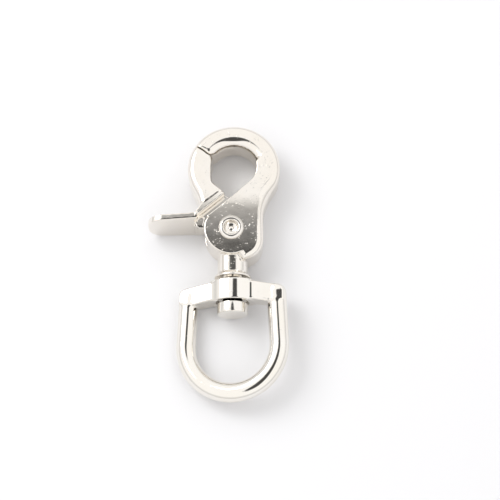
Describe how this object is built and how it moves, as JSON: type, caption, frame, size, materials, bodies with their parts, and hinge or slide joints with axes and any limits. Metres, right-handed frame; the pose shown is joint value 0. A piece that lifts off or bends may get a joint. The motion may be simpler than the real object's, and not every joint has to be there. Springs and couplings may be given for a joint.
{
  "type": "scissor snap",
  "caption": "Sprung scissor snap hook with a thumb lever and a swivelling D-shaped strap eye, for joining a strap or lead to a ring.",
  "frame": {"origin": "on the jaw pivot's axis, in the plane of the back cheek that the snap lies on", "axes": "+X right seen from the front with the thumb lever on the left, +Y towards the hook, +Z out of the front face, along the pivot"},
  "size_m": [0.0475, 0.0962, 0.0135],
  "materials": {
    "body_nickel": "bright nickel plate on die-cast zinc, fine pits",
    "jaw_nickel": "bright nickel plate on die-cast zinc",
    "rivet_nickel": "nickel-plated steel, rolled over",
    "spring_steel": "drawn spring wire",
    "eye_nickel": "bright nickel plate on die-cast zinc",
    "pin_nickel": "nickel-plated steel"
  },
  "bodies": {
    "body": {"hook_body": "body_nickel", "pivot_rivet": "rivet_nickel", "torsion_spring": "spring_steel", "swivel_pin": "pin_nickel"},
    "jaw": {"trigger_jaw": "jaw_nickel"},
    "eye": {"swivel_eye": "eye_nickel"}
  },
  "joints": [
    {"name": "jaw_pivot", "type": "hinge", "parent": "body", "child": "jaw", "pos_m": [0, 0, 0.0063], "axis": [0, 0, 1], "range_deg": [0, 25], "stiffness_Nm_per_rad": 0.12, "springref_deg": -45.84, "deforming": ["torsion_spring"]},
    {"name": "eye_swivel", "type": "hinge", "parent": "body", "child": "eye", "pos_m": [0.0005, -0.021, 0.0063], "axis": [0, 1, 0], "continuous": true}
  ]
}
